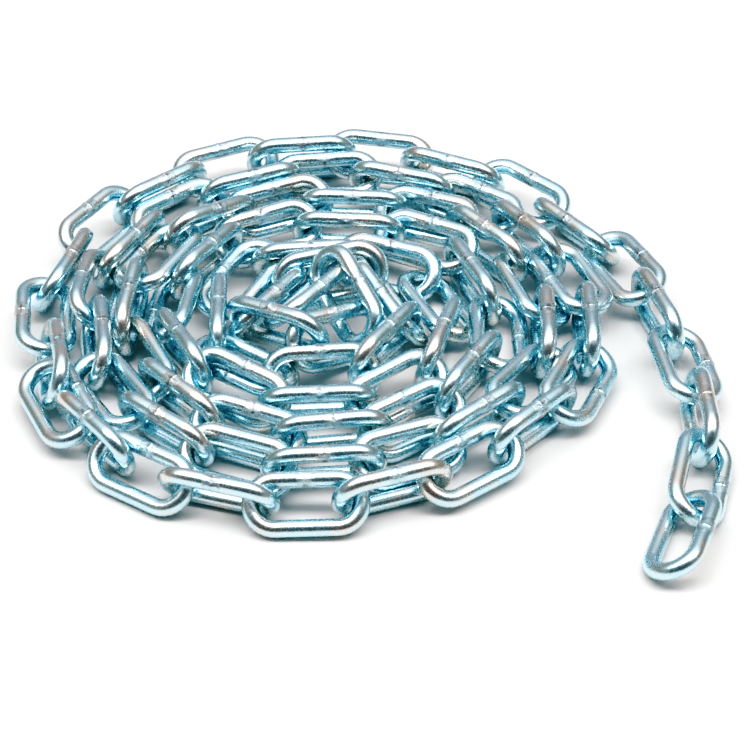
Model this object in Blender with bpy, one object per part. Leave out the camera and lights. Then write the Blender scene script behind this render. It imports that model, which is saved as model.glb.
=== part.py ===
"""Heap of steel chain: one length of welded link chain laid down as a flat, untidy coil.

The chain's free end trails off the right-hand side of the coil towards the front.
From there the links run anticlockwise round the outer turn and wind in to the middle, where
the last ones are heaped. On the turns every second link lies nearly flat and the ones between
stand on edge.
"""
import math

import bmesh
import bpy
import numpy as np
from mathutils import Matrix

# Sizes of one link, in metres
WIRE = 0.007
INSIDE_LENGTH = 0.0365
INSIDE_WIDTH = 0.0123
WIRE_SIDES = 8
CROWN_STEPS = 5

# Spaces between neighbouring links, measured between the middles of their wires
CLEAR = 0.00755
WELDED = 0.0060

# Links that are solids of their own, and the ends of the runs that are fused
SINGLE_LINKS = 57
RUN_ENDS = (69, 76)

# Route of the chain seen from above, in millimetres from the middle of the coil
TAIL_ROUTE = [(134, -156), (152, -108), (157, -80), (154, -48), (149, -18), (139, 20), (127, 49)]
# Degrees travelled round the coil, and the distance from its middle there in millimetres
COIL_ROUTE = [
    (23, 134), (47, 128), (79, 125), (112, 121), (140, 117), (168, 115), (181, 114),
    (205, 116), (222, 120), (245, 121), (269, 119), (285, 117), (305, 112), (340, 115),
    (355, 116), (374, 111), (397, 106), (430, 107), (475, 102), (500, 98), (540, 98), (590, 99),
    (610, 98), (633, 103), (655, 97), (680, 98), (700, 103), (712, 99), (740, 93), (770, 90),
    (810, 89), (860, 84), (900, 84), (950, 82), (990, 80), (1030, 76), (1050, 77), (1068, 75),
    (1130, 69), (1170, 66), (1220, 65), (1260, 65), (1310, 63), (1350, 60), (1390, 58),
    (1432, 56), (1479, 53),
]
ROUTE_STEPS = 12
HALVINGS = 40
# Joints of the last links, heaped in the middle: place and height above the ground in millimetres
HEAP_JOINTS = [
    (13, 42, 13), (-25, 43, 12), (-49, 15, 11), (-44, -22, 12), (-14, -40, 10), (21, -36, 12),
    (37, -5, 14), (18, 23, 18), (-14, 21, 18), (-34, -7, 18), (-4, -28, 17), (17, -12, 16),
    (4, 17, 22), (-14, -8, 22),
]
HEAP_ROLLS = [-25, 60, -20, 75, -10, 55, 96, 47, 114, 48, 104, 59, 123, 59]

# Distance from one link to the next, in millimetres, up to and including the numbered link
STEPS_UP_TO = [(1, 36.5), (3, 34.5), (5, 36.0), (16, 36.5), (17, 20.0), (18, 21.0), (19, 28.0),
               (20, 34.0), (22, 33.5), (24, 35.8), (27, 34.0), (33, 36.5), (41, 34.8), (45, 34.9),
               (53, 35.6), (60, 34.6)]
INNER_STEP = 35.2

# Attitude of the links: degrees turned about their own length from lying flat
TAIL_ROLLS = [-15, 25, 95, 20, -76, -25]
OUTER_ROLLS = [40, -20, 54, -10, 60, -12, 48, -32, 42, -8, 62, 22, 105, 42, 120, 42, 112, 38, 105,
               26, 95]
FLAT_ROLL = 14
FLAT_SWING = 22
STANDING_ROLL = 90
STANDING_SWING = 28
# Links further in that lie otherwise than their neighbours do
ODD_ROLLS = {36: 125, 37: 55}
ROLL_VARIATION = 6
ROLL_WAVE = 2.4

# Heights of the links' middles above the ground, in metres
TAIL_HEIGHTS = [0.0095, 0.0095, 0.0115, 0.0095, 0.0115, 0.0115]
FLAT_HEIGHT = 0.0112
STANDING_HEIGHT = 0.0129
FLAT_OUTWARD = 0.0025
STANDING_INWARD = 0.0010

# Settling of the links against each other and the ground
SETTLE_ROUNDS = 260
SETTLE_FADE = 0.75
SHARE = 0.7
HOLD = 0.03
DROP = 0.00005
TURN_RADIUS = 0.0141
REACH = 0.055

BAR = (INSIDE_WIDTH + WIRE) / 2
STRAIGHT = (INSIDE_LENGTH + WIRE) / 2 - BAR
# An eight-sided wire of this radius holds as much steel as the round one
SECTION_RADIUS = WIRE / 2 * math.sqrt(
    math.pi / (WIRE_SIDES / 2 * math.sin(2 * math.pi / WIRE_SIDES)))


def clear_scene():
    for obj in list(bpy.data.objects):
        bpy.data.objects.remove(obj, do_unlink=True)


def loop_points():
    """Middle line of a link's wire, in the link's own plane."""
    points = []
    for side in (1, -1):
        for step in range(CROWN_STEPS + 1):
            angle = math.pi * (step / CROWN_STEPS - 0.5)
            if side < 0:
                angle += math.pi
            points.append((side * STRAIGHT + BAR * math.cos(angle), BAR * math.sin(angle), 0.0))
    return np.array(points)


def smooth_route(points):
    """Curve through the points, with even steps between each two of them."""
    points = np.asarray(points, float)
    ends = np.vstack([2 * points[0] - points[1], points, 2 * points[-1] - points[-2]])
    curve = []
    for a, b, c, d in zip(ends, ends[1:], ends[2:], ends[3:]):
        for step in range(ROUTE_STEPS):
            t = step / ROUTE_STEPS
            curve.append(0.5 * (2 * b + (c - a) * t + (2 * a - 5 * b + 4 * c - d) * t ** 2
                                + (3 * b - a - 3 * c + d) * t ** 3))
    curve.append(points[-1])
    return np.array(curve)


def chain_route():
    """The whole route from the free end to the middle of the coil, in metres."""
    coil = smooth_route(COIL_ROUTE)
    angle = np.radians(coil[:, 0])
    coil = np.stack([coil[:, 1] * np.cos(angle), coil[:, 1] * np.sin(angle)], axis=1)
    tail = smooth_route(np.vstack([np.array(TAIL_ROUTE, float), coil[:1]]))
    return np.vstack([tail[:-1], coil]) / 1000


def step_to(number):
    """Distance from the joint before this link to the joint after it, in metres."""
    for last, step in STEPS_UP_TO:
        if number <= last:
            return step / 1000
    return INNER_STEP / 1000


def walk(route):
    """Joints between the links, stepped along the route."""
    along = np.concatenate([[0], np.cumsum(np.linalg.norm(np.diff(route, axis=0), axis=1))])

    def place(distance):
        return np.array([np.interp(distance, along, route[:, 0]),
                         np.interp(distance, along, route[:, 1])])

    joints = [place(0)]
    travelled = 0.0
    while True:
        step = step_to(len(joints))
        near, far = travelled, travelled + 2 * step
        for _ in range(HALVINGS):
            middle = (near + far) / 2
            if np.linalg.norm(place(middle) - joints[-1]) < step:
                near = middle
            else:
                far = middle
        travelled = near
        if travelled >= along[-1] - 1e-9:
            return np.array(joints)
        joints.append(place(travelled))


def laid_links():
    """Middles and attitudes of the links as they are laid down, before they settle."""
    joints = walk(chain_route())
    rolls = TAIL_ROLLS + OUTER_ROLLS
    middles, attitudes = [], []
    for index, (start, end) in enumerate(zip(joints, joints[1:])):
        number = index + 1
        middle = (start + end) / 2
        forward = (end - start) / np.linalg.norm(end - start)
        bearing = math.atan2(middle[1], middle[0])
        if index < len(TAIL_ROLLS):
            roll = TAIL_ROLLS[index]
            height = TAIL_HEIGHTS[index]
        elif number % 2 == 0:
            roll = FLAT_ROLL - FLAT_SWING * math.sin(bearing)
            height = FLAT_HEIGHT
            middle = middle + FLAT_OUTWARD * np.array([math.cos(bearing), math.sin(bearing)])
        else:
            roll = STANDING_ROLL - STANDING_SWING * math.sin(bearing)
            height = STANDING_HEIGHT
            middle = middle - STANDING_INWARD * np.array([math.cos(bearing), math.sin(bearing)])
        if number in ODD_ROLLS:
            roll = ODD_ROLLS[number]
        elif number > len(rolls):
            roll += ROLL_VARIATION * math.sin(ROLL_WAVE * number)
        elif number > len(TAIL_ROLLS):
            roll = rolls[index]
        roll = math.radians(roll)
        length_way = np.array([forward[0], forward[1], 0.0])
        inward = np.array([-forward[1], forward[0], 0.0])
        width_way = math.cos(roll) * inward + math.sin(roll) * np.array([0.0, 0.0, 1.0])
        middles.append([middle[0], middle[1], height])
        attitudes.append(np.stack([length_way, width_way, np.cross(length_way, width_way)], axis=1))
    start = np.array([joints[-1][0], joints[-1][1], STANDING_HEIGHT])
    for end, roll in zip(np.array(HEAP_JOINTS) / 1000, np.radians(HEAP_ROLLS)):
        length_way = (end - start) / np.linalg.norm(end - start)
        across = np.array([-length_way[1], length_way[0], 0.0])
        across /= np.linalg.norm(across)
        width_way = math.cos(roll) * across + math.sin(roll) * np.cross(length_way, across)
        middles.append((start + end) / 2)
        attitudes.append(np.stack([length_way, width_way, np.cross(length_way, width_way)], axis=1))
        start = end
    return np.array(middles), np.array(attitudes)


def nearest_points(start_a, end_a, start_b, end_b):
    """Points of two sets of straight pieces that come closest to each other."""
    way_a, way_b, between = end_a - start_a, end_b - start_b, start_a - start_b
    aa = (way_a * way_a).sum(-1)
    bb = (way_b * way_b).sum(-1)
    ab = (way_a * way_b).sum(-1)
    ca = (way_a * between).sum(-1)
    cb = (way_b * between).sum(-1)
    spread = aa * bb - ab * ab
    along_a = np.clip((ab * cb - ca * bb) / np.maximum(spread, 1e-18), 0, 1)
    along_b = np.clip((ab * along_a + cb) / bb, 0, 1)
    along_a = np.clip((ab * along_b - ca) / aa, 0, 1)
    return start_a + way_a * along_a[..., None], start_b + way_b * along_b[..., None]


def small_turns(vectors):
    """Rotation matrices for small rotation vectors."""
    angle = np.linalg.norm(vectors, axis=1)
    x, y, z = (vectors / np.maximum(angle, 1e-12)[:, None]).T
    zero = np.zeros_like(x)
    cross = np.stack([zero, -z, y, z, zero, -x, -y, x, zero], axis=1).reshape(-1, 3, 3)
    sine = np.sin(angle)[:, None, None]
    versine = (1 - np.cos(angle))[:, None, None]
    return np.eye(3) + sine * cross + versine * (cross @ cross)


def run_of(number):
    """Which solid a link belongs to: each outer link is its own, the inner ones share."""
    if number <= SINGLE_LINKS:
        return number
    return 1000 + sum(number > end for end in RUN_ENDS)


def settle(middles, attitudes):
    """Move the links apart where they meet, let them down, and keep them near their places."""
    laid_middles, laid_attitudes = middles.copy(), attitudes.copy()
    count = len(middles)
    loop = loop_points()
    numbers = np.arange(1, count + 1)
    runs = np.array([run_of(number) for number in numbers])
    lever = TURN_RADIUS ** 2
    for turn in range(SETTLE_ROUNDS):
        fade = max(0.0, 1 - turn / (SETTLE_ROUNDS * SETTLE_FADE))
        lines = middles[:, None] + np.einsum("pk,njk->npj", loop, attitudes)
        ends = np.roll(lines, -1, axis=1)
        apart = np.linalg.norm(middles[:, None] - middles[None], axis=-1)
        first, second = np.where((apart < REACH) & (numbers[:, None] < numbers[None]))
        on_first, on_second = nearest_points(lines[first][:, :, None], ends[first][:, :, None],
                                             lines[second][:, None], ends[second][:, None])
        space = np.linalg.norm(on_first - on_second, axis=-1).reshape(len(first), -1)
        tightest = space.argmin(axis=1)
        rows = np.arange(len(first))
        space = space[rows, tightest]
        on_first = on_first.reshape(len(first), -1, 3)[rows, tightest]
        on_second = on_second.reshape(len(first), -1, 3)[rows, tightest]

        fused = (runs[first] == runs[second]) & (second - first == 1)
        wanted = np.where(fused, WELDED, CLEAR)
        push = wanted - space
        keep = (push > 0) | fused
        first, second, push, space = first[keep], second[keep], push[keep], space[keep]
        on_first, on_second = on_first[keep], on_second[keep]
        way = (on_first - on_second) / np.maximum(space, 1e-6)[:, None]
        twist_first = np.cross(on_first - middles[first], way)
        twist_second = np.cross(on_second - middles[second], way)
        share = push / (2 + ((twist_first ** 2).sum(1) + (twist_second ** 2).sum(1)) / lever)
        shift = np.zeros((count, 3))
        turn_by = np.zeros((count, 3))
        np.add.at(shift, first, way * share[:, None])
        np.add.at(shift, second, -way * share[:, None])
        np.add.at(turn_by, first, twist_first * share[:, None] / lever)
        np.add.at(turn_by, second, -twist_second * share[:, None] / lever)

        lowest = lines[np.arange(count), lines[:, :, 2].argmin(axis=1)]
        lift = np.maximum(WIRE / 2 - lowest[:, 2], 0)
        up = np.tile([0.0, 0.0, 1.0], (count, 1))
        twist = np.cross(lowest - middles, up)
        share = lift / (1 + (twist ** 2).sum(1) / lever)
        shift += up * share[:, None]
        turn_by += twist * share[:, None] / lever

        shift *= SHARE
        turn_by *= SHARE
        back = np.einsum("nij,nkj->nik", laid_attitudes, attitudes)
        back = np.stack([back[:, 2, 1] - back[:, 1, 2], back[:, 0, 2] - back[:, 2, 0],
                         back[:, 1, 0] - back[:, 0, 1]], axis=1) / 2
        shift += HOLD * fade * (laid_middles - middles)
        shift[:, 2] -= DROP * fade
        turn_by += HOLD * fade * back
        middles = middles + shift
        attitudes = small_turns(turn_by) @ attitudes
    return middles, attitudes


def link_mesh():
    """One link: an eight-sided wire spun round each end and run along the two bars."""
    bm = bmesh.new()
    ring = bmesh.ops.create_circle(bm, segments=WIRE_SIDES, radius=SECTION_RADIUS)["verts"]
    flat_down = Matrix.Rotation(math.pi / WIRE_SIDES, 3, "Z")
    bmesh.ops.rotate(bm, verts=ring, cent=(0, 0, 0), matrix=flat_down)
    bmesh.ops.rotate(bm, verts=ring, cent=(0, 0, 0), matrix=Matrix.Rotation(math.pi / 2, 3, "Y"))
    bmesh.ops.translate(bm, verts=ring, vec=(STRAIGHT, -BAR, 0))
    first_edges = list(bm.edges)
    edges = first_edges
    for side in (1, -1):
        spun = bmesh.ops.spin(bm, geom=edges, cent=(side * STRAIGHT, 0, 0), axis=(0, 0, 1),
                              dvec=(0, 0, 0), angle=math.pi, steps=CROWN_STEPS)
        edges = [item for item in spun["geom_last"] if isinstance(item, bmesh.types.BMEdge)]
        if side > 0:
            bar = bmesh.ops.extrude_edge_only(bm, edges=edges)["geom"]
            moved = [item for item in bar if isinstance(item, bmesh.types.BMVert)]
            bmesh.ops.translate(bm, verts=moved, vec=(-2 * STRAIGHT, 0, 0))
            edges = [item for item in bar if isinstance(item, bmesh.types.BMEdge)]
            edges = [edge for edge in edges if all(vert in moved for vert in edge.verts)]
    bmesh.ops.bridge_loops(bm, edges=edges + first_edges)
    bmesh.ops.recalc_face_normals(bm, faces=bm.faces)
    mesh = bpy.data.meshes.new("chain_link")
    bm.to_mesh(mesh)
    bm.free()
    mesh.shade_smooth()
    mesh.set_sharp_from_angle(angle=math.radians(60))
    return mesh


def zinc_plated_steel():
    material = bpy.data.materials.new("zinc_plated_steel")
    material.use_nodes = True
    shader = material.node_tree.nodes["Principled BSDF"]
    shader.inputs["Base Color"].default_value = (0.66, 0.76, 0.80, 1)
    shader.inputs["Metallic"].default_value = 1.0
    shader.inputs["Roughness"].default_value = 0.22
    return material


def place_link(name, mesh, middle, attitude):
    obj = bpy.data.objects.new(name, mesh)
    bpy.context.scene.collection.objects.link(obj)
    obj.location = middle
    obj.rotation_mode = "QUATERNION"
    obj.rotation_quaternion = Matrix(attitude.tolist()).to_quaternion()
    return obj


def fuse(name, links):
    """Union of a run of links, as one body with the slivers of the cut left out."""
    base = links[0]
    others = bpy.data.collections.new(name + "_others")
    for link in links[1:]:
        others.objects.link(link)
        link.hide_render = True
        link.display_type = "WIRE"
    union = base.modifiers.new("union", "BOOLEAN")
    union.operation = "UNION"
    union.operand_type = "COLLECTION"
    union.collection = others
    union.solver = "MANIFOLD"
    joined = base.evaluated_get(bpy.context.evaluated_depsgraph_get())
    mesh = bpy.data.meshes.new_from_object(joined)
    base.modifiers.remove(union)
    keep_largest_body(mesh)
    base.data = mesh
    base.name = name
    for link in links[1:]:
        bpy.data.objects.remove(link, do_unlink=True)
    return base


def keep_largest_body(mesh):
    bm = bmesh.new()
    bm.from_mesh(mesh)
    left = set(bm.verts)
    bodies = []
    while left:
        body = set()
        edge_of_body = [left.pop()]
        while edge_of_body:
            vert = edge_of_body.pop()
            body.add(vert)
            for edge in vert.link_edges:
                other = edge.other_vert(vert)
                if other in left:
                    left.discard(other)
                    edge_of_body.append(other)
        bodies.append(body)
    bodies.sort(key=len)
    for body in bodies[:-1]:
        bmesh.ops.delete(bm, geom=list(body), context="VERTS")
    bm.to_mesh(mesh)
    bm.free()


def level(objects):
    """Bring the lowest corner to the ground and the outline's middle to the origin."""
    bpy.context.view_layer.update()
    corners = np.array([obj.matrix_world @ vert.co for obj in objects for vert in obj.data.vertices])
    low, high = corners.min(axis=0), corners.max(axis=0)
    offset = ((low[0] + high[0]) / 2, (low[1] + high[1]) / 2, low[2])
    for obj in objects:
        obj.location = [place - shift for place, shift in zip(obj.location, offset)]


def build():
    clear_scene()
    middles, attitudes = settle(*laid_links())
    mesh = link_mesh()
    mesh.materials.append(zinc_plated_steel())
    links = [place_link(f"link_{index + 1:02d}", mesh, middle, attitude)
             for index, (middle, attitude) in enumerate(zip(middles, attitudes))]
    level(links)
    limits = [SINGLE_LINKS, *RUN_ENDS, len(links)]
    for index, (start, end) in enumerate(zip(limits, limits[1:])):
        fuse(f"inner_run_{index + 1}", links[start:end])


if __name__ == "__main__":
    build()
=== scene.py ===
"""Heap of zinc-plated steel chain: the finished links, their plating, and a plain studio.

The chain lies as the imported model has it. Its free end trails off the right-hand side of the
coil, and the links run from there round the outer turn and in to the middle.
"""
import functools
import math

import bmesh
import bpy
import numpy as np
from mathutils import Matrix, Vector


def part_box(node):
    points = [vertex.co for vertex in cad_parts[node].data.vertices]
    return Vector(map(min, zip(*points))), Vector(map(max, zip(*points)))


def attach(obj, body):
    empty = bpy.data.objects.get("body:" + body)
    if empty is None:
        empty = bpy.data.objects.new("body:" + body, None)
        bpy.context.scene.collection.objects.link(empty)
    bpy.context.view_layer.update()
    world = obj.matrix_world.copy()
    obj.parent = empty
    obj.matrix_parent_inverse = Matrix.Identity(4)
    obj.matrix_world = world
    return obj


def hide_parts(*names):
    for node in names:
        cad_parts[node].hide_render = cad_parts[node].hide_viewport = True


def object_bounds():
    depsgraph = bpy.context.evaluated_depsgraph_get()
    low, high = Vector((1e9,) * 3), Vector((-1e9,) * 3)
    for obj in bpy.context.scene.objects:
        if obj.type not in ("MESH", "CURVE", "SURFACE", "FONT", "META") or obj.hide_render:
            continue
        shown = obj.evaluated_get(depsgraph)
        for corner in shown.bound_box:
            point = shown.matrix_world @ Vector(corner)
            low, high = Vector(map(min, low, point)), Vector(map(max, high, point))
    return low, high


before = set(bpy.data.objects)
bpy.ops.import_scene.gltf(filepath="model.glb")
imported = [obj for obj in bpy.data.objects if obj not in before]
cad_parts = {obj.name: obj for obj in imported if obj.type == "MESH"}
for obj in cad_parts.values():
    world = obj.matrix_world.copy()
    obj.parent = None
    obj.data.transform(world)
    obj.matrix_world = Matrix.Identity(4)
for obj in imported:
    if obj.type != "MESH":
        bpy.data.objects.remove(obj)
CAD_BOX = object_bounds()

bl_info = {
    "name": "Heap of steel chain",
    "version": (1, 0, 0),
    "blender": (4, 5, 0),
    "location": "3D View > Sidebar > Chain",
    "description": "A coil of welded zinc-plated chain on a studio floor",
    "category": "Add Mesh",
}

# Sizes of one link, in metres
WIRE = 0.007
INSIDE_LENGTH = 0.0365
INSIDE_WIDTH = 0.0123

# How far the marks on one link's wire are shifted from those on the next, in metres
MARKS_ALONG = 0.31
MARKS_ACROSS = 0.0173

# Relief of the plated wire: its depth in metres, and how much each kind of mark has of it
RELIEF = 0.00004
LINES_SHARE = 0.24
PITS_SHARE = 0.06
SCARS_SHARE = 9.0

# Sizes of the marks, as noise scales: a higher scale is a finer mark
LINE_SCALE = 1300.0
PIT_SCALE = 3000.0
PATCH_SCALE = 95.0
THIN_PATCH_SCALE = 58.0
MOTTLE_SCALE = 900.0
SCAR_SCALE = 1300.0
STAIN_SCALE = 700.0

# How much marks are drawn out along the wire: 1 is not at all, less is longer
LINE_STRETCH = 0.045
SCAR_STRETCH = 0.38

# The floor lies this far under the chain, in metres
FLOOR_GAP = 0.0001

# How the chain is laid: the same rules as the model's own

CROWN_STEPS = 5

# Spaces between neighbouring links, measured between the middles of their wires
CLEAR = 0.00755
WELDED = 0.0060

# Links that are solids of their own, and the ends of the runs that are fused
SINGLE_LINKS = 57
RUN_ENDS = (69, 76)

# Route of the chain seen from above, in millimetres from the middle of the coil
TAIL_ROUTE = [(134, -156), (152, -108), (157, -80), (154, -48), (149, -18), (139, 20), (127, 49)]
# Degrees travelled round the coil, and the distance from its middle there in millimetres
COIL_ROUTE = [
    (23, 134), (47, 128), (79, 125), (112, 121), (140, 117), (168, 115), (181, 114),
    (205, 116), (222, 120), (245, 121), (269, 119), (285, 117), (305, 112), (340, 115),
    (355, 116), (374, 111), (397, 106), (430, 107), (475, 102), (500, 98), (540, 98), (590, 99),
    (610, 98), (633, 103), (655, 97), (680, 98), (700, 103), (712, 99), (740, 93), (770, 90),
    (810, 89), (860, 84), (900, 84), (950, 82), (990, 80), (1030, 76), (1050, 77), (1068, 75),
    (1130, 69), (1170, 66), (1220, 65), (1260, 65), (1310, 63), (1350, 60), (1390, 58),
    (1432, 56), (1479, 53),
]
ROUTE_STEPS = 12
HALVINGS = 40
# Joints of the last links, heaped in the middle: place and height above the ground in millimetres
HEAP_JOINTS = [
    (13, 42, 13), (-25, 43, 12), (-49, 15, 11), (-44, -22, 12), (-14, -40, 10), (21, -36, 12),
    (37, -5, 14), (18, 23, 18), (-14, 21, 18), (-34, -7, 18), (-4, -28, 17), (17, -12, 16),
    (4, 17, 22), (-14, -8, 22),
]
HEAP_ROLLS = [-25, 60, -20, 75, -10, 55, 96, 47, 114, 48, 104, 59, 123, 59]

# Distance from one link to the next, in millimetres, up to and including the numbered link
STEPS_UP_TO = [(1, 36.5), (3, 34.5), (5, 36.0), (16, 36.5), (17, 20.0), (18, 21.0), (19, 28.0),
               (20, 34.0), (22, 33.5), (24, 35.8), (27, 34.0), (33, 36.5), (41, 34.8), (45, 34.9),
               (53, 35.6), (60, 34.6)]
INNER_STEP = 35.2

# Attitude of the links: degrees turned about their own length from lying flat
TAIL_ROLLS = [-15, 25, 95, 20, -76, -25]
OUTER_ROLLS = [40, -20, 54, -10, 60, -12, 48, -32, 42, -8, 62, 22, 105, 42, 120, 42, 112, 38, 105,
               26, 95]
FLAT_ROLL = 14
FLAT_SWING = 22
STANDING_ROLL = 90
STANDING_SWING = 28
# Links further in that lie otherwise than their neighbours do
ODD_ROLLS = {36: 125, 37: 55}
ROLL_VARIATION = 6
ROLL_WAVE = 2.4

# Heights of the links' middles above the ground, in metres
TAIL_HEIGHTS = [0.0095, 0.0095, 0.0115, 0.0095, 0.0115, 0.0115]
FLAT_HEIGHT = 0.0112
STANDING_HEIGHT = 0.0129
FLAT_OUTWARD = 0.0025
STANDING_INWARD = 0.0010

# Settling of the links against each other and the ground
SETTLE_ROUNDS = 260
SETTLE_FADE = 0.75
SHARE = 0.7
HOLD = 0.03
DROP = 0.00005
TURN_RADIUS = 0.0141
REACH = 0.055

BAR = (INSIDE_WIDTH + WIRE) / 2
STRAIGHT = (INSIDE_LENGTH + WIRE) / 2 - BAR

# A link may lie this far from the middle of its node before the laying counts as wrong
PLACE_TOLERANCE = 0.0004

# Which bar of a link has the weld: how much lying outward counts against lying higher, and the
# links where the weld is on the other bar
OUTWARD_SHARE = 0.8
WELD_ON_OTHER_BAR = (18, 24, 28)

# How the rough skin fades from the middle of the weld to the end of its zone: 1 is an even fade,
# less keeps it rough for longer
WELD_FADE = 0.6

# Stretches that the bar without a weld is made of
BAR_PARTS = 3

# The camera, in metres from the middle of the coil as it is laid
CAMERA_PLACE = (0.0231, -1.0086, 0.769)
CAMERA_ELEVATION = 38.0
CAMERA_LENS = 144.0
SENSOR_WIDTH = 36.0

# The picture's tones: how bright the light is, and how bright the picture shows it, for all
# colours together and then for red
ALL_TONES = ((0.06, 0.022), (0.125, 0.096), (0.19, 0.212), (0.30, 0.395), (0.45, 0.625),
             (0.62, 0.86), (0.78, 1.0))
RED_TONES = ((0.035, 0.008), (0.075, 0.044), (0.13, 0.12))


def loop_points():
    """Middle line of a link's wire, in the link's own plane."""
    points = []
    for side in (1, -1):
        for step in range(CROWN_STEPS + 1):
            angle = math.pi * (step / CROWN_STEPS - 0.5)
            if side < 0:
                angle += math.pi
            points.append((side * STRAIGHT + BAR * math.cos(angle), BAR * math.sin(angle), 0.0))
    return np.array(points)


def smooth_route(points):
    """Curve through the points, with even steps between each two of them."""
    points = np.asarray(points, float)
    ends = np.vstack([2 * points[0] - points[1], points, 2 * points[-1] - points[-2]])
    curve = []
    for a, b, c, d in zip(ends, ends[1:], ends[2:], ends[3:]):
        for step in range(ROUTE_STEPS):
            t = step / ROUTE_STEPS
            curve.append(0.5 * (2 * b + (c - a) * t + (2 * a - 5 * b + 4 * c - d) * t ** 2
                                + (3 * b - a - 3 * c + d) * t ** 3))
    curve.append(points[-1])
    return np.array(curve)


def chain_route():
    """The whole route from the free end to the middle of the coil, in metres."""
    coil = smooth_route(COIL_ROUTE)
    angle = np.radians(coil[:, 0])
    coil = np.stack([coil[:, 1] * np.cos(angle), coil[:, 1] * np.sin(angle)], axis=1)
    tail = smooth_route(np.vstack([np.array(TAIL_ROUTE, float), coil[:1]]))
    return np.vstack([tail[:-1], coil]) / 1000


def step_to(number):
    """Distance from the joint before this link to the joint after it, in metres."""
    for last, step in STEPS_UP_TO:
        if number <= last:
            return step / 1000
    return INNER_STEP / 1000


def walk(route):
    """Joints between the links, stepped along the route."""
    along = np.concatenate([[0], np.cumsum(np.linalg.norm(np.diff(route, axis=0), axis=1))])

    def place(distance):
        return np.array([np.interp(distance, along, route[:, 0]),
                         np.interp(distance, along, route[:, 1])])

    joints = [place(0)]
    travelled = 0.0
    while True:
        step = step_to(len(joints))
        near, far = travelled, travelled + 2 * step
        for _ in range(HALVINGS):
            middle = (near + far) / 2
            if np.linalg.norm(place(middle) - joints[-1]) < step:
                near = middle
            else:
                far = middle
        travelled = near
        if travelled >= along[-1] - 1e-9:
            return np.array(joints)
        joints.append(place(travelled))


def laid_links():
    """Middles and attitudes of the links as they are laid down, before they settle."""
    joints = walk(chain_route())
    rolls = TAIL_ROLLS + OUTER_ROLLS
    middles, attitudes = [], []
    for index, (start, end) in enumerate(zip(joints, joints[1:])):
        number = index + 1
        middle = (start + end) / 2
        forward = (end - start) / np.linalg.norm(end - start)
        bearing = math.atan2(middle[1], middle[0])
        if index < len(TAIL_ROLLS):
            roll = TAIL_ROLLS[index]
            height = TAIL_HEIGHTS[index]
        elif number % 2 == 0:
            roll = FLAT_ROLL - FLAT_SWING * math.sin(bearing)
            height = FLAT_HEIGHT
            middle = middle + FLAT_OUTWARD * np.array([math.cos(bearing), math.sin(bearing)])
        else:
            roll = STANDING_ROLL - STANDING_SWING * math.sin(bearing)
            height = STANDING_HEIGHT
            middle = middle - STANDING_INWARD * np.array([math.cos(bearing), math.sin(bearing)])
        if number in ODD_ROLLS:
            roll = ODD_ROLLS[number]
        elif number > len(rolls):
            roll += ROLL_VARIATION * math.sin(ROLL_WAVE * number)
        elif number > len(TAIL_ROLLS):
            roll = rolls[index]
        roll = math.radians(roll)
        length_way = np.array([forward[0], forward[1], 0.0])
        inward = np.array([-forward[1], forward[0], 0.0])
        width_way = math.cos(roll) * inward + math.sin(roll) * np.array([0.0, 0.0, 1.0])
        middles.append([middle[0], middle[1], height])
        attitudes.append(np.stack([length_way, width_way, np.cross(length_way, width_way)], axis=1))
    start = np.array([joints[-1][0], joints[-1][1], STANDING_HEIGHT])
    for end, roll in zip(np.array(HEAP_JOINTS) / 1000, np.radians(HEAP_ROLLS)):
        length_way = (end - start) / np.linalg.norm(end - start)
        across = np.array([-length_way[1], length_way[0], 0.0])
        across /= np.linalg.norm(across)
        width_way = math.cos(roll) * across + math.sin(roll) * np.cross(length_way, across)
        middles.append((start + end) / 2)
        attitudes.append(np.stack([length_way, width_way, np.cross(length_way, width_way)], axis=1))
        start = end
    return np.array(middles), np.array(attitudes)


def nearest_points(start_a, end_a, start_b, end_b):
    """Points of two sets of straight pieces that come closest to each other."""
    way_a, way_b, between = end_a - start_a, end_b - start_b, start_a - start_b
    aa = (way_a * way_a).sum(-1)
    bb = (way_b * way_b).sum(-1)
    ab = (way_a * way_b).sum(-1)
    ca = (way_a * between).sum(-1)
    cb = (way_b * between).sum(-1)
    spread = aa * bb - ab * ab
    along_a = np.clip((ab * cb - ca * bb) / np.maximum(spread, 1e-18), 0, 1)
    along_b = np.clip((ab * along_a + cb) / bb, 0, 1)
    along_a = np.clip((ab * along_b - ca) / aa, 0, 1)
    return start_a + way_a * along_a[..., None], start_b + way_b * along_b[..., None]


def small_turns(vectors):
    """Rotation matrices for small rotation vectors."""
    angle = np.linalg.norm(vectors, axis=1)
    x, y, z = (vectors / np.maximum(angle, 1e-12)[:, None]).T
    zero = np.zeros_like(x)
    cross = np.stack([zero, -z, y, z, zero, -x, -y, x, zero], axis=1).reshape(-1, 3, 3)
    sine = np.sin(angle)[:, None, None]
    versine = (1 - np.cos(angle))[:, None, None]
    return np.eye(3) + sine * cross + versine * (cross @ cross)


def run_of(number):
    """Which solid a link belongs to: each outer link is its own, the inner ones share."""
    if number <= SINGLE_LINKS:
        return number
    return 1000 + sum(number > end for end in RUN_ENDS)


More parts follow.
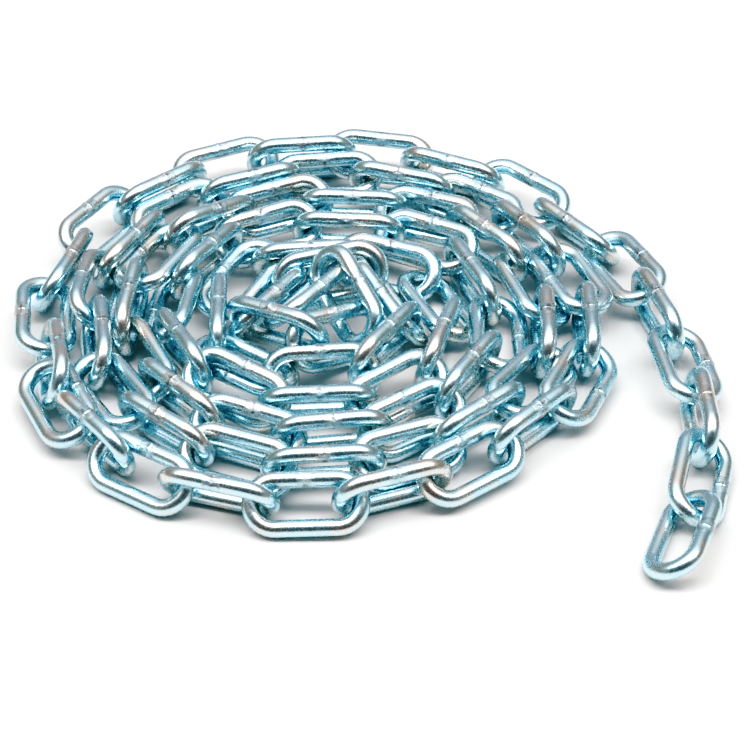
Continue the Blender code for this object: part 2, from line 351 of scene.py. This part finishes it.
def settle(middles, attitudes):
    """Move the links apart where they meet, let them down, and keep them near their places."""
    laid_middles, laid_attitudes = middles.copy(), attitudes.copy()
    count = len(middles)
    loop = loop_points()
    numbers = np.arange(1, count + 1)
    runs = np.array([run_of(number) for number in numbers])
    lever = TURN_RADIUS ** 2
    for turn in range(SETTLE_ROUNDS):
        fade = max(0.0, 1 - turn / (SETTLE_ROUNDS * SETTLE_FADE))
        lines = middles[:, None] + np.einsum("pk,njk->npj", loop, attitudes)
        ends = np.roll(lines, -1, axis=1)
        apart = np.linalg.norm(middles[:, None] - middles[None], axis=-1)
        first, second = np.where((apart < REACH) & (numbers[:, None] < numbers[None]))
        on_first, on_second = nearest_points(lines[first][:, :, None], ends[first][:, :, None],
                                             lines[second][:, None], ends[second][:, None])
        space = np.linalg.norm(on_first - on_second, axis=-1).reshape(len(first), -1)
        tightest = space.argmin(axis=1)
        rows = np.arange(len(first))
        space = space[rows, tightest]
        on_first = on_first.reshape(len(first), -1, 3)[rows, tightest]
        on_second = on_second.reshape(len(first), -1, 3)[rows, tightest]

        fused = (runs[first] == runs[second]) & (second - first == 1)
        wanted = np.where(fused, WELDED, CLEAR)
        push = wanted - space
        keep = (push > 0) | fused
        first, second, push, space = first[keep], second[keep], push[keep], space[keep]
        on_first, on_second = on_first[keep], on_second[keep]
        way = (on_first - on_second) / np.maximum(space, 1e-6)[:, None]
        twist_first = np.cross(on_first - middles[first], way)
        twist_second = np.cross(on_second - middles[second], way)
        share = push / (2 + ((twist_first ** 2).sum(1) + (twist_second ** 2).sum(1)) / lever)
        shift = np.zeros((count, 3))
        turn_by = np.zeros((count, 3))
        np.add.at(shift, first, way * share[:, None])
        np.add.at(shift, second, -way * share[:, None])
        np.add.at(turn_by, first, twist_first * share[:, None] / lever)
        np.add.at(turn_by, second, -twist_second * share[:, None] / lever)

        lowest = lines[np.arange(count), lines[:, :, 2].argmin(axis=1)]
        lift = np.maximum(WIRE / 2 - lowest[:, 2], 0)
        up = np.tile([0.0, 0.0, 1.0], (count, 1))
        twist = np.cross(lowest - middles, up)
        share = lift / (1 + (twist ** 2).sum(1) / lever)
        shift += up * share[:, None]
        turn_by += twist * share[:, None] / lever

        shift *= SHARE
        turn_by *= SHARE
        back = np.einsum("nij,nkj->nik", laid_attitudes, attitudes)
        back = np.stack([back[:, 2, 1] - back[:, 1, 2], back[:, 0, 2] - back[:, 2, 0],
                         back[:, 1, 0] - back[:, 0, 1]], axis=1) / 2
        shift += HOLD * fade * (laid_middles - middles)
        shift[:, 2] -= DROP * fade
        turn_by += HOLD * fade * back
        middles = middles + shift
        attitudes = small_turns(turn_by) @ attitudes
    return middles, attitudes


@functools.cache
def chain():
    """Middles and attitudes of all links in the model's frame, and where the coil's middle is."""
    middles, attitudes = settle(*laid_links())
    nodes = []
    for number in range(1, SINGLE_LINKS + 1):
        low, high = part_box(f"link_{number:02d}")
        nodes.append((low + high) / 2)
    nodes = np.array(nodes)
    offset = (nodes - middles[:SINGLE_LINKS]).mean(axis=0)
    middles = middles + offset
    miss = np.linalg.norm(nodes - middles[:SINGLE_LINKS], axis=1)
    if miss.max() > PLACE_TOLERANCE:
        worst = miss.argmax()
        raise RuntimeError(f"link_{worst + 1:02d} is {miss[worst] * 1000:.2f} mm off its node")
    return middles, attitudes, offset


# Sizes and colours

class ChainFinish(bpy.types.PropertyGroup):
    """Sizes of a link and colours of its plating"""
    wire: bpy.props.FloatProperty(
        name="Wire", description="Thickness of the wire", default=WIRE, unit="LENGTH")
    inside_length: bpy.props.FloatProperty(
        name="Inside length", description="Length of the opening in a link",
        default=INSIDE_LENGTH, unit="LENGTH")
    inside_width: bpy.props.FloatProperty(
        name="Inside width", description="Width of the opening in a link",
        default=INSIDE_WIDTH, unit="LENGTH")
    wire_sides: bpy.props.IntProperty(
        name="Wire sides", description="Faces round the wire", default=24)
    crown_steps: bpy.props.IntProperty(
        name="Crown steps", description="Faces along each rounded end", default=18)
    bead_width: bpy.props.FloatProperty(
        name="Weld bead width", description="Width of the raised ring that the weld leaves",
        default=0.0007, unit="LENGTH")
    bead_rise: bpy.props.FloatProperty(
        name="Weld bead rise", description="How far the ring stands out of the wire",
        default=0.00013, unit="LENGTH")
    upset_length: bpy.props.FloatProperty(
        name="Length of the weld zone", description="How far the clamped, rough wire reaches",
        default=0.0085, unit="LENGTH")
    zinc: bpy.props.FloatVectorProperty(
        name="Zinc", description="Colour of the plating", subtype="COLOR", min=0, max=1,
        default=(0.63, 0.805, 0.86))
    zinc_blue: bpy.props.FloatVectorProperty(
        name="Blue of the plating", description="Colour where the passivation is thicker",
        subtype="COLOR", min=0, max=1, default=(0.505, 0.765, 0.88))
    zinc_straw: bpy.props.FloatVectorProperty(
        name="Straw of the plating", description="Colour where the passivation is thinner",
        subtype="COLOR", min=0, max=1, default=(0.76, 0.73, 0.68))
    weld_grey: bpy.props.FloatVectorProperty(
        name="Weld", description="Colour of the plating on the rough weld", subtype="COLOR",
        min=0, max=1, default=(0.27, 0.26, 0.27))
    roughness: bpy.props.FloatProperty(
        name="Roughness", description="Roughness of the plating", default=0.265, min=0, max=1)


class ChainStudio(bpy.types.PropertyGroup):
    """The floor, the softbox and the room round the chain"""
    floor_white: bpy.props.FloatVectorProperty(
        name="Floor", description="Colour of the studio floor", subtype="COLOR",
        min=0, max=1, default=(0.80, 0.805, 0.80))
    floor_size: bpy.props.FloatProperty(
        name="Floor size", description="Side of the studio floor", default=8.0, unit="LENGTH")
    softbox_power: bpy.props.FloatProperty(
        name="Softbox", description="Power of the softbox over the chain", default=83.0)
    softbox_width: bpy.props.FloatProperty(
        name="Softbox width", description="Size of the softbox from side to side",
        default=6.0, unit="LENGTH")
    softbox_depth: bpy.props.FloatProperty(
        name="Softbox depth", description="Size of the softbox from front to back",
        default=0.9, unit="LENGTH")
    softbox_height: bpy.props.FloatProperty(
        name="Softbox height", description="Height of the softbox above the floor",
        default=3.2, unit="LENGTH")
    softbox_forward: bpy.props.FloatProperty(
        name="Softbox forward", description="How far in front of the coil the softbox hangs",
        default=0.6, unit="LENGTH")
    ceiling: bpy.props.FloatVectorProperty(
        name="Ceiling", description="White of the ceiling round the softbox", subtype="COLOR",
        min=0, max=2, default=(1.27, 1.26, 1.24))
    back_wall: bpy.props.FloatVectorProperty(
        name="Back wall", description="Grey of the room behind the chain", subtype="COLOR",
        min=0, max=1, default=(0.34, 0.33, 0.35))
    side_walls: bpy.props.FloatVectorProperty(
        name="Side walls", description="Warm grey of the room at the sides", subtype="COLOR",
        min=0, max=1, default=(0.25, 0.233, 0.214))
    dark_front: bpy.props.FloatVectorProperty(
        name="Dark front", description="Unlit part of the room behind the camera",
        subtype="COLOR", min=0, max=1, default=(0.12, 0.10, 0.10))


# The plating

def node_group(name, inputs, outputs):
    """A new shader node group with its sockets, and its input and output nodes."""
    group = bpy.data.node_groups.new(name, "ShaderNodeTree")
    for label, kind, value in inputs:
        socket = group.interface.new_socket(label, in_out="INPUT", socket_type=kind)
        socket.default_value = value
    for label, kind in outputs:
        group.interface.new_socket(label, in_out="OUTPUT", socket_type=kind)
    return group, group.nodes.new("NodeGroupInput"), group.nodes.new("NodeGroupOutput")


def noise(tree, coordinates, scale, detail=2.0, roughness=0.5):
    """Soft noise from 0 to 1."""
    node = tree.nodes.new("ShaderNodeTexNoise")
    node.inputs["Scale"].default_value = scale
    node.inputs["Detail"].default_value = detail
    node.inputs["Roughness"].default_value = roughness
    tree.links.new(coordinates, node.inputs["Vector"])
    return node.outputs["Fac"]


def spread(tree, value, low, high, to_low=0.0, to_high=1.0):
    """Spread the values between low and high over another range, and hold them inside it."""
    node = tree.nodes.new("ShaderNodeMapRange")
    node.inputs["From Min"].default_value = low
    node.inputs["From Max"].default_value = high
    node.inputs["To Min"].default_value = to_low
    node.inputs["To Max"].default_value = to_high
    tree.links.new(value, node.inputs["Value"])
    return node.outputs["Result"]


def arithmetic(tree, operation, first, second=0.0):
    """A sum, product or other operation on one or two sockets or numbers."""
    node = tree.nodes.new("ShaderNodeMath")
    node.operation = operation
    for socket, value in zip(node.inputs, (first, second)):
        if isinstance(value, (int, float)):
            socket.default_value = value
        else:
            tree.links.new(value, socket)
    return node.outputs["Value"]


def mix_colours(tree, amount, first, second):
    """A mix of two colours, each given as a socket or as values."""
    node = tree.nodes.new("ShaderNodeMix")
    node.data_type = "RGBA"
    tree.links.new(amount, node.inputs["Factor"])
    for name, value in (("A", first), ("B", second)):
        socket = [item for item in node.inputs if item.name == name and item.type == "RGBA"][0]
        if isinstance(value, (tuple, list)):
            socket.default_value = (*value[:3], 1)
        else:
            tree.links.new(value, socket)
    return [item for item in node.outputs if item.type == "RGBA"][0]


@functools.cache
def drawn_wire_group():
    """Fine lines that drawing leaves along a wire, and the pits between them."""
    group, start, end = node_group(
        "Drawn wire",
        [("Wire", "NodeSocketVector", (0, 0, 0)), ("Line scale", "NodeSocketFloat", LINE_SCALE),
         ("Stretch", "NodeSocketFloat", LINE_STRETCH)],
        [("Lines", "NodeSocketFloat"), ("Pits", "NodeSocketFloat")])
    apart = group.nodes.new("ShaderNodeSeparateXYZ")
    group.links.new(start.outputs["Wire"], apart.inputs["Vector"])
    along = arithmetic(group, "MULTIPLY", apart.outputs["X"], start.outputs["Stretch"])
    joined = group.nodes.new("ShaderNodeCombineXYZ")
    group.links.new(along, joined.inputs["X"])
    group.links.new(apart.outputs["Y"], joined.inputs["Y"])
    group.links.new(apart.outputs["Z"], joined.inputs["Z"])
    lines = noise(group, joined.outputs["Vector"], LINE_SCALE, detail=3.0, roughness=0.6)
    group.links.new(start.outputs["Line scale"], lines.node.inputs["Scale"])
    pits = noise(group, start.outputs["Wire"], PIT_SCALE, detail=2.0, roughness=0.65)
    group.links.new(lines, end.inputs["Lines"])
    group.links.new(spread(group, pits, 0.42, 0.72), end.inputs["Pits"])
    return group


@functools.cache
def patchy_plating_group():
    """Where the passivation over the zinc is thicker or thinner, in soft patches."""
    group, start, end = node_group(
        "Patchy plating",
        [("Place", "NodeSocketVector", (0, 0, 0)),
         ("Patch scale", "NodeSocketFloat", PATCH_SCALE)],
        [("Patches", "NodeSocketFloat"), ("Thin patches", "NodeSocketFloat"),
         ("Mottle", "NodeSocketFloat")])
    patches = noise(group, start.outputs["Place"], PATCH_SCALE)
    group.links.new(start.outputs["Patch scale"], patches.node.inputs["Scale"])
    thin = noise(group, start.outputs["Place"], THIN_PATCH_SCALE, detail=3.0)
    mottle = noise(group, start.outputs["Place"], MOTTLE_SCALE, detail=3.0, roughness=0.6)
    group.links.new(spread(group, patches, 0.36, 0.66), end.inputs["Patches"])
    group.links.new(spread(group, thin, 0.50, 0.72), end.inputs["Thin patches"])
    group.links.new(spread(group, mottle, 0.35, 0.68), end.inputs["Mottle"])
    return group


@functools.cache
def weld_marks_group():
    """The rough, scarred skin of the weld, strongest at the bead."""
    group, start, end = node_group(
        "Weld marks",
        [("Wire", "NodeSocketVector", (0, 0, 0)), ("Weld", "NodeSocketFloat", 0.0)],
        [("Scars", "NodeSocketFloat"), ("Stain", "NodeSocketFloat")])
    along = group.nodes.new("ShaderNodeVectorMath")
    along.operation = "MULTIPLY"
    along.inputs[1].default_value = (SCAR_STRETCH, 1.0, 1.0)
    group.links.new(start.outputs["Wire"], along.inputs[0])
    coarse = noise(group, along.outputs["Vector"], SCAR_SCALE, detail=4.0, roughness=0.7)
    scars = arithmetic(group, "MULTIPLY", coarse, start.outputs["Weld"])
    broad = noise(group, along.outputs["Vector"], STAIN_SCALE, detail=3.0, roughness=0.6)
    stain = arithmetic(group, "MULTIPLY", spread(group, broad, 0.50, 0.60), start.outputs["Weld"])
    group.links.new(scars, end.inputs["Scars"])
    group.links.new(stain, end.inputs["Stain"])
    return group


def placed_group(tree, group):
    """A node group placed in a material."""
    node = tree.nodes.new("ShaderNodeGroup")
    node.node_tree = group
    return node


@functools.cache
def zinc_plated_steel():
    """Bright zinc plating with blue passivation over drawn and welded steel wire."""
    look = bpy.context.scene.chain_finish
    material = bpy.data.materials.new("zinc_plated_steel")
    material.use_nodes = True
    tree = material.node_tree
    shader = tree.nodes["Principled BSDF"]
    shader.inputs["Metallic"].default_value = 1.0

    place = tree.nodes.new("ShaderNodeTexCoord").outputs["Object"]
    wire = tree.nodes.new("ShaderNodeAttribute")
    wire.attribute_name = "wire"
    weld = tree.nodes.new("ShaderNodeAttribute")
    weld.attribute_name = "weld"

    drawn = placed_group(tree, drawn_wire_group())
    tree.links.new(wire.outputs["Vector"], drawn.inputs["Wire"])
    patchy = placed_group(tree, patchy_plating_group())
    tree.links.new(place, patchy.inputs["Place"])
    marks = placed_group(tree, weld_marks_group())
    tree.links.new(wire.outputs["Vector"], marks.inputs["Wire"])
    tree.links.new(weld.outputs["Fac"], marks.inputs["Weld"])

    blue = spread(tree, patchy.outputs["Patches"], 0.0, 1.0, 0.1, 0.75)
    plating = mix_colours(tree, blue, tuple(look.zinc), tuple(look.zinc_blue))
    plating = mix_colours(tree, patchy.outputs["Thin patches"], plating, tuple(look.zinc_straw))
    colour = mix_colours(tree, marks.outputs["Stain"], plating, tuple(look.weld_grey))
    tree.links.new(colour, shader.inputs["Base Color"])

    dull = spread(tree, patchy.outputs["Mottle"], 0.0, 1.0, -0.035, 0.05)
    rough = arithmetic(tree, "ADD", dull, look.roughness)
    scarred = spread(tree, marks.outputs["Scars"], 0.0, 1.0, 0.0, 0.10)
    rough = arithmetic(tree, "ADD", rough, scarred)
    tree.links.new(rough, shader.inputs["Roughness"])

    lines = arithmetic(tree, "MULTIPLY", drawn.outputs["Lines"], LINES_SHARE)
    pits = arithmetic(tree, "MULTIPLY", drawn.outputs["Pits"], PITS_SHARE)
    scars = arithmetic(tree, "MULTIPLY", marks.outputs["Scars"], SCARS_SHARE)
    height = arithmetic(tree, "ADD", arithmetic(tree, "ADD", lines, pits), scars)
    bump = tree.nodes.new("ShaderNodeBump")
    bump.inputs["Strength"].default_value = 1.0
    bump.inputs["Distance"].default_value = RELIEF
    tree.links.new(height, bump.inputs["Height"])
    tree.links.new(bump.outputs["Normal"], shader.inputs["Normal"])
    return material


# The links

def only(geometry, kind):
    """The vertices, edges or faces among what an operator gives back."""
    return [item for item in geometry if isinstance(item, kind)]


def weld_profile(look):
    """How thick the wire is along the weld: distance from its middle, and share of full size."""
    zone = look.upset_length / 2
    bead = look.bead_width / 2
    rise = 2 * look.bead_rise / look.wire
    return [(-zone, 1.0), (-0.82 * zone, 0.994), (-0.62 * zone, 0.988), (-0.4 * zone, 0.990),
            (-1.7 * bead, 0.988), (-1.05 * bead, 0.997), (-0.55 * bead, 1.0 + 0.8 * rise),
            (0.0, 1.0 + rise), (0.55 * bead, 1.0 + 0.75 * rise), (1.05 * bead, 0.995),
            (1.7 * bead, 0.985), (0.4 * zone, 0.984), (0.62 * zone, 0.982), (0.82 * zone, 0.991),
            (zone, 1.0)]


def link_shape(look):
    """One link at the origin, its length along x: wire spun round the ends and run along the bars.

    The weld is in the middle of the bar on the +y side.
    """
    bar = (look.inside_width + look.wire) / 2
    straight = (look.inside_length + look.wire) / 2 - bar
    quarter = Matrix.Rotation(math.pi / 2, 3, "Y")
    bm = bmesh.new()
    ring = bmesh.ops.create_circle(bm, segments=look.wire_sides, radius=look.wire / 2)["verts"]
    bmesh.ops.rotate(bm, verts=ring, cent=(0, 0, 0), matrix=quarter)
    bmesh.ops.translate(bm, verts=ring, vec=(straight, -bar, 0))
    first_edges = list(bm.edges)

    def spin(edges, side):
        spun = bmesh.ops.spin(bm, geom=edges, cent=(side * straight, 0, 0), axis=(0, 0, 1),
                              dvec=(0, 0, 0), angle=math.pi, steps=look.crown_steps)
        return only(spun["geom_last"], bmesh.types.BMEdge)

    def run(edges, distance, grow=1.0):
        made = bmesh.ops.extrude_edge_only(bm, edges=edges)["geom"]
        verts = only(made, bmesh.types.BMVert)
        bmesh.ops.translate(bm, verts=verts, vec=(distance, 0, 0))
        middle = sum((vert.co for vert in verts), Vector()) / len(verts)
        bmesh.ops.scale(bm, verts=verts, vec=(1, grow, grow), space=Matrix.Translation(-middle))
        return [edge for edge in only(made, bmesh.types.BMEdge)
                if all(vert in verts for vert in edge.verts)]

    edges = spin(first_edges, 1)
    at, size = straight, 1.0
    for place, share in reversed(weld_profile(look)):
        edges = run(edges, place - at, share / size)
        at, size = place, share
    edges = run(edges, -straight - at, 1.0 / size)
    edges = spin(edges, -1)
    for _ in range(BAR_PARTS - 1):
        edges = run(edges, 2 * straight / BAR_PARTS)
    bmesh.ops.bridge_loops(bm, edges=edges + first_edges)
    bmesh.ops.recalc_face_normals(bm, faces=bm.faces)
    return bm


def mark_wire(bm, look, number):
    """Attributes that follow the wire: how far a point is along it, and how close to the weld."""
    wire = bm.verts.layers.float_vector.new("wire")
    weld = bm.verts.layers.float.new("weld")
    bar = (look.inside_width + look.wire) / 2
    straight = (look.inside_length + look.wire) / 2 - bar
    turn = math.pi * bar
    for vert in bm.verts:
        x, y, z = vert.co
        over = abs(x) - straight
        if over > 0:
            out = math.hypot(over, y)
            along = straight + bar * math.atan2(over, y)
        else:
            out = abs(y)
            along = abs(x) if y > 0 else 2 * straight + turn - abs(x)
        vert[wire] = (along + number * MARKS_ALONG, out - bar + number * MARKS_ACROSS, z)
        near = 1 - abs(x) / (look.upset_length / 2)
        vert[weld] = max(0.0, near) ** WELD_FADE if y > 0 else 0.0


def weld_side(number, middle, attitude):
    """Which bar the weld is on: the one that lies further up and out on most links."""
    outward = np.array([middle[0], middle[1], 0.0])
    outward /= max(np.linalg.norm(outward), 1e-6)
    higher = attitude[:, 1] @ (OUTWARD_SHARE * outward + np.array([0, 0, 1.0]))
    side = 1 if higher > 0 else -1
    return -side if number in WELD_ON_OTHER_BAR else side


def add_link(target, bm, number, middle, attitude):
    """Lay a link down in its place in the chain, and add it to a mesh that is being made."""
    side = weld_side(number, middle, attitude)
    turn = Matrix(attitude.tolist()).to_4x4()
    if side < 0:
        turn = turn @ Matrix.Rotation(math.pi, 4, "Z")
    bmesh.ops.transform(bm, matrix=Matrix.Translation(Vector(middle)) @ turn, verts=bm.verts)
    mesh = bpy.data.meshes.new("one_link")
    bm.to_mesh(mesh)
    target.from_mesh(mesh)
    bpy.data.meshes.remove(mesh)


def make_links(piece_name, numbers, node):
    """A piece that holds the numbered links, made on the root body, with the node hidden."""
    look = bpy.context.scene.chain_finish
    middles, attitudes, _ = chain()
    joined = bmesh.new()
    for number in numbers:
        link = link_shape(look)
        mark_wire(link, look, number)
        add_link(joined, link, number, middles[number - 1], attitudes[number - 1])
        link.free()
    mesh = bpy.data.meshes.new(piece_name)
    joined.to_mesh(mesh)
    joined.free()
    mesh.shade_smooth()
    mesh.materials.append(zinc_plated_steel())
    piece = bpy.data.objects.new(piece_name, mesh)
    bpy.context.scene.collection.objects.link(piece)
    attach(piece, "root")
    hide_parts(node)


class CHAIN_OT_single_links(bpy.types.Operator):
    """The links of the free end and the outer turns, each a piece of its own"""
    bl_idname = "chain.single_links"
    bl_label = "Outer links"

    def execute(self, context):
        for number in range(1, SINGLE_LINKS + 1):
            node = f"link_{number:02d}"
            make_links(f"chain_{node}", [number], node)
        return {"FINISHED"}


class CHAIN_OT_inner_runs(bpy.types.Operator):
    """The links of the inner turns, in three runs"""
    bl_idname = "chain.inner_runs"
    bl_label = "Inner runs"

    def execute(self, context):
        limits = [SINGLE_LINKS, *RUN_ENDS, len(chain()[0])]
        for index, (start, end) in enumerate(zip(limits, limits[1:])):
            node = f"inner_run_{index + 1}"
            make_links(f"chain_{node}", list(range(start + 1, end + 1)), node)
        return {"FINISHED"}


# The studio

def studio_floor():
    """A plain white floor under the chain."""
    look = bpy.context.scene.chain_studio
    bm = bmesh.new()
    bmesh.ops.create_grid(bm, x_segments=1, y_segments=1, size=look.floor_size / 2)
    mesh = bpy.data.meshes.new("studio_floor")
    bm.to_mesh(mesh)
    bm.free()
    material = bpy.data.materials.new("studio_white")
    material.use_nodes = True
    shader = material.node_tree.nodes["Principled BSDF"]
    shader.inputs["Base Color"].default_value = (*look.floor_white, 1)
    shader.inputs["Roughness"].default_value = 0.9
    shader.inputs["Specular IOR Level"].default_value = 0.1
    mesh.materials.append(material)
    floor = bpy.data.objects.new("studio_floor", mesh)
    bpy.context.scene.collection.objects.link(floor)
    floor.location = (0, 0, CAD_BOX[0][2] - FLOOR_GAP)


def studio_world():
    """The room round the chain: a white ceiling, grey back, warm sides and a dark front."""
    look = bpy.context.scene.chain_studio
    world = bpy.data.worlds.new("studio")
    bpy.context.scene.world = world
    world.use_nodes = True
    tree = world.node_tree
    direction = tree.nodes.new("ShaderNodeTexCoord").outputs["Generated"]
    apart = tree.nodes.new("ShaderNodeSeparateXYZ")
    tree.links.new(direction, apart.inputs["Vector"])
    across, deep = (arithmetic(tree, "MULTIPLY", apart.outputs[axis], apart.outputs[axis])
                    for axis in "XY")
    level = arithmetic(tree, "SQRT", arithmetic(tree, "ADD", across, deep))
    level = arithmetic(tree, "MAXIMUM", level, 0.001)
    backward = arithmetic(tree, "DIVIDE", apart.outputs["Y"], level)
    sides = mix_colours(tree, spread(tree, backward, 0.97, 0.70), tuple(look.back_wall),
                        tuple(look.side_walls))
    room = mix_colours(tree, spread(tree, backward, -0.45, -0.85), sides, tuple(look.dark_front))
    high = arithmetic(tree, "MULTIPLY", spread(tree, apart.outputs["Z"], 0.6, 1.0),
                      spread(tree, apart.outputs["Y"], -0.55, -0.30))
    room = mix_colours(tree, high, room, tuple(look.ceiling))
    tree.links.new(room, tree.nodes["Background"].inputs["Color"])


def studio_softbox(offset):
    """The wide softbox over the chain, facing straight down."""
    look = bpy.context.scene.chain_studio
    lamp = bpy.data.lights.new("softbox", "AREA")
    lamp.shape = "RECTANGLE"
    lamp.size = look.softbox_width
    lamp.size_y = look.softbox_depth
    lamp.energy = look.softbox_power
    softbox = bpy.data.objects.new("softbox", lamp)
    bpy.context.scene.collection.objects.link(softbox)
    softbox.location = (offset[0], offset[1] - look.softbox_forward, look.softbox_height)


def studio_camera(offset):
    """The camera where the photograph was taken from."""
    data = bpy.data.cameras.new("studio_camera")
    data.sensor_fit = "HORIZONTAL"
    data.sensor_width = SENSOR_WIDTH
    data.lens = CAMERA_LENS
    data.clip_start = 0.01
    camera = bpy.data.objects.new("studio_camera", data)
    bpy.context.scene.collection.objects.link(camera)
    camera.location = Vector(CAMERA_PLACE) + Vector(offset)
    camera.rotation_euler = (math.radians(90 - CAMERA_ELEVATION), 0, 0)
    bpy.context.scene.camera = camera


def picture_tones(view):
    """Give the picture the photograph's contrast, with less red in its darkest places."""
    view.view_transform = "Standard"
    view.use_curve_mapping = True
    mapping = view.curve_mapping
    for curve, tones in ((mapping.curves[3], ALL_TONES), (mapping.curves[0], RED_TONES)):
        for light, shown in tones:
            curve.points.new(light, shown)
        for point in curve.points:
            point.handle_type = "AUTO_CLAMPED"
    mapping.update()


class CHAIN_OT_studio(bpy.types.Operator):
    """The white floor, the room, the softbox and the camera"""
    bl_idname = "chain.studio"
    bl_label = "Studio"

    def execute(self, context):
        offset = chain()[2]
        studio_floor()
        studio_world()
        studio_softbox(offset)
        studio_camera(offset)
        picture_tones(context.scene.view_settings)
        return {"FINISHED"}


class CHAIN_PT_panel(bpy.types.Panel):
    """Buttons for the pieces and the studio, and the sizes and colours they are made with"""
    bl_label = "Heap of steel chain"
    bl_idname = "CHAIN_PT_panel"
    bl_space_type = "VIEW_3D"
    bl_region_type = "UI"
    bl_category = "Chain"

    def draw(self, context):
        layout = self.layout
        for operator in OPERATORS:
            layout.operator(operator.bl_idname)
        for group in (context.scene.chain_finish, context.scene.chain_studio):
            for name in group.__annotations__:
                layout.prop(group, name)


GROUPS = (ChainFinish, ChainStudio)
OPERATORS = (CHAIN_OT_single_links, CHAIN_OT_inner_runs, CHAIN_OT_studio)


def register():
    for item in (*GROUPS, *OPERATORS, CHAIN_PT_panel):
        bpy.utils.register_class(item)
    bpy.types.Scene.chain_finish = bpy.props.PointerProperty(type=ChainFinish)
    bpy.types.Scene.chain_studio = bpy.props.PointerProperty(type=ChainStudio)


def unregister():
    del bpy.types.Scene.chain_studio
    del bpy.types.Scene.chain_finish
    for item in reversed((*GROUPS, *OPERATORS, CHAIN_PT_panel)):
        bpy.utils.unregister_class(item)


def main():
    register()
    bpy.ops.chain.single_links()
    bpy.ops.chain.inner_runs()
    bpy.ops.chain.studio()


if __name__ == "__main__":
    main()
